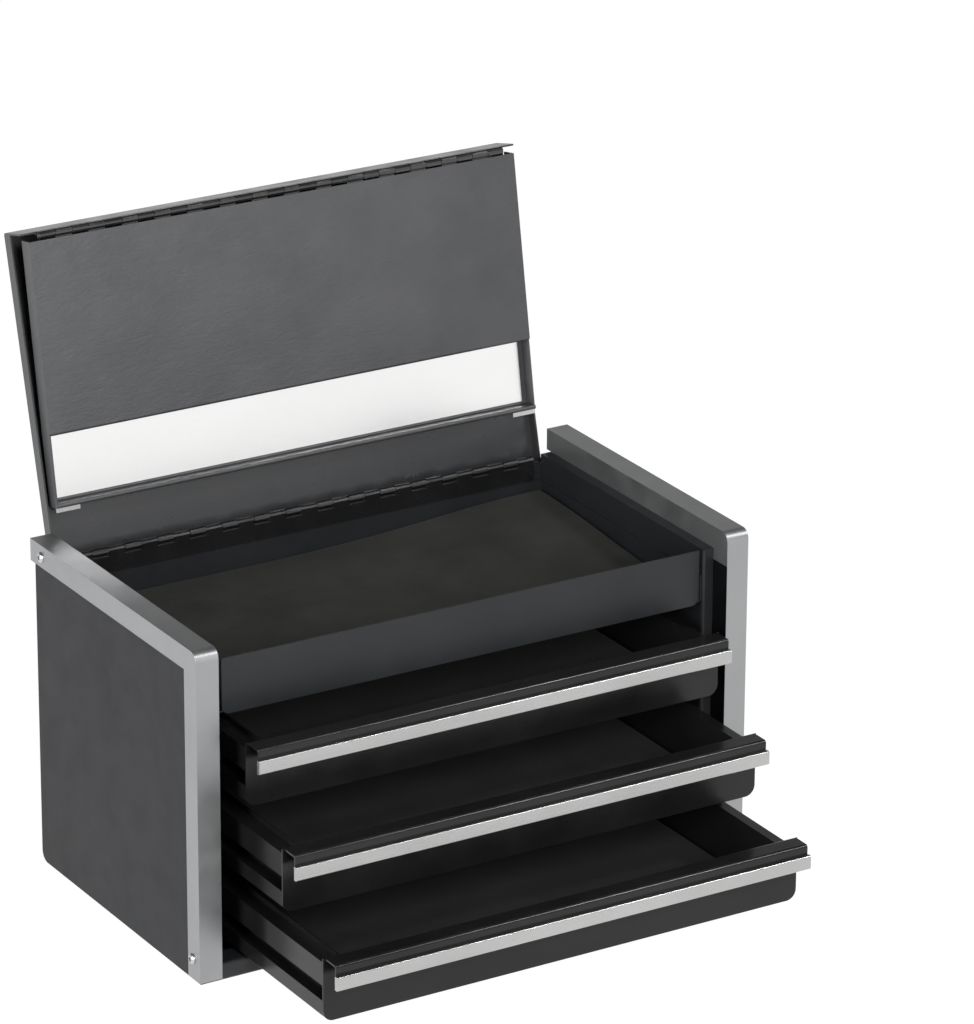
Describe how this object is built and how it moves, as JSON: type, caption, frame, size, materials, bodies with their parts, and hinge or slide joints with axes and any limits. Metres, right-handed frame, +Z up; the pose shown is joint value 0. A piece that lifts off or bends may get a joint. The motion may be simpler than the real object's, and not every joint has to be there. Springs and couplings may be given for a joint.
{
  "type": "machinist tool chest",
  "caption": "Steel bench-top tool chest with a hinged lid over a lined tray, a fold-away front cover and sliding drawers with full-width pulls.",
  "frame": {"origin": "on the floor plane under the body, in the middle between the side panels and midway between the trims' front and back ends", "axes": "+Z up, the drawers open towards -Y, +X to the right of someone facing the front"},
  "size_m": [0.3434, 0.3422, 0.3491],
  "materials": {
    "black_powder_coat": "satin",
    "drawer_black": "semi-gloss",
    "silver_grey_paint": "satin",
    "hinge_black": "semi-gloss",
    "brushed_aluminium": "brushed",
    "bright_steel": "polished",
    "felt": "matte"
  },
  "bodies": {
    "chassis": {"side_panel_left": "black_powder_coat", "side_panel_right": "black_powder_coat", "side_frame_left": "black_powder_coat", "side_frame_right": "black_powder_coat", "back_panel": "black_powder_coat", "base_pan": "black_powder_coat", "trim_left": "silver_grey_paint", "trim_right": "silver_grey_paint", "trim_screws": "bright_steel", "top_tray": "black_powder_coat", "tray_front": "black_powder_coat", "tray_liner": "felt", "runners_1": "black_powder_coat", "runners_2": "black_powder_coat", "runners_3": "black_powder_coat", "rear_hinge_leaf_body": "hinge_black", "rear_hinge_pin": "bright_steel"},
    "lid": {"lid_panel": "black_powder_coat", "rear_hinge_leaf_lid": "hinge_black", "front_hinge_leaf_lid": "hinge_black", "front_hinge_pin": "bright_steel"},
    "cover": {"cover_flap": "black_powder_coat", "cover_plate": "bright_steel", "front_hinge_leaf_cover": "hinge_black", "catch_plates": "bright_steel"},
    "drawer_1": {"drawer_1_front": "drawer_black", "drawer_1_pull": "brushed_aluminium", "drawer_1_box": "drawer_black", "drawer_1_slides": "drawer_black", "drawer_1_liner": "felt"},
    "drawer_2": {"drawer_2_front": "drawer_black", "drawer_2_pull": "brushed_aluminium", "drawer_2_box": "drawer_black", "drawer_2_slides": "drawer_black", "drawer_2_liner": "felt"},
    "drawer_3": {"drawer_3_front": "drawer_black", "drawer_3_pull": "brushed_aluminium", "drawer_3_box": "drawer_black", "drawer_3_slides": "drawer_black", "drawer_3_liner": "felt"}
  },
  "joints": [
    {"name": "lid_hinge", "type": "hinge", "parent": "chassis", "child": "lid", "pos_m": [0, 0.0898, 0.1735], "axis": [-1, 0, 0], "range_deg": [-97, 0]},
    {"name": "cover_hinge", "type": "hinge", "parent": "lid", "child": "cover", "pos_m": [0, 0.12491, 0.34689], "axis": [1, 0, 0], "range_deg": [-94, 0]},
    {"name": "drawer_1_slide", "type": "slide", "parent": "chassis", "child": "drawer_1", "axis": [0, -1, 0], "range_m": [-0.0373, 0.0927]},
    {"name": "drawer_2_slide", "type": "slide", "parent": "chassis", "child": "drawer_2", "axis": [0, -1, 0], "range_m": [-0.0755, 0.0545]},
    {"name": "drawer_3_slide", "type": "slide", "parent": "chassis", "child": "drawer_3", "axis": [0, -1, 0], "range_m": [-0.1173, 0.0127]}
  ]
}
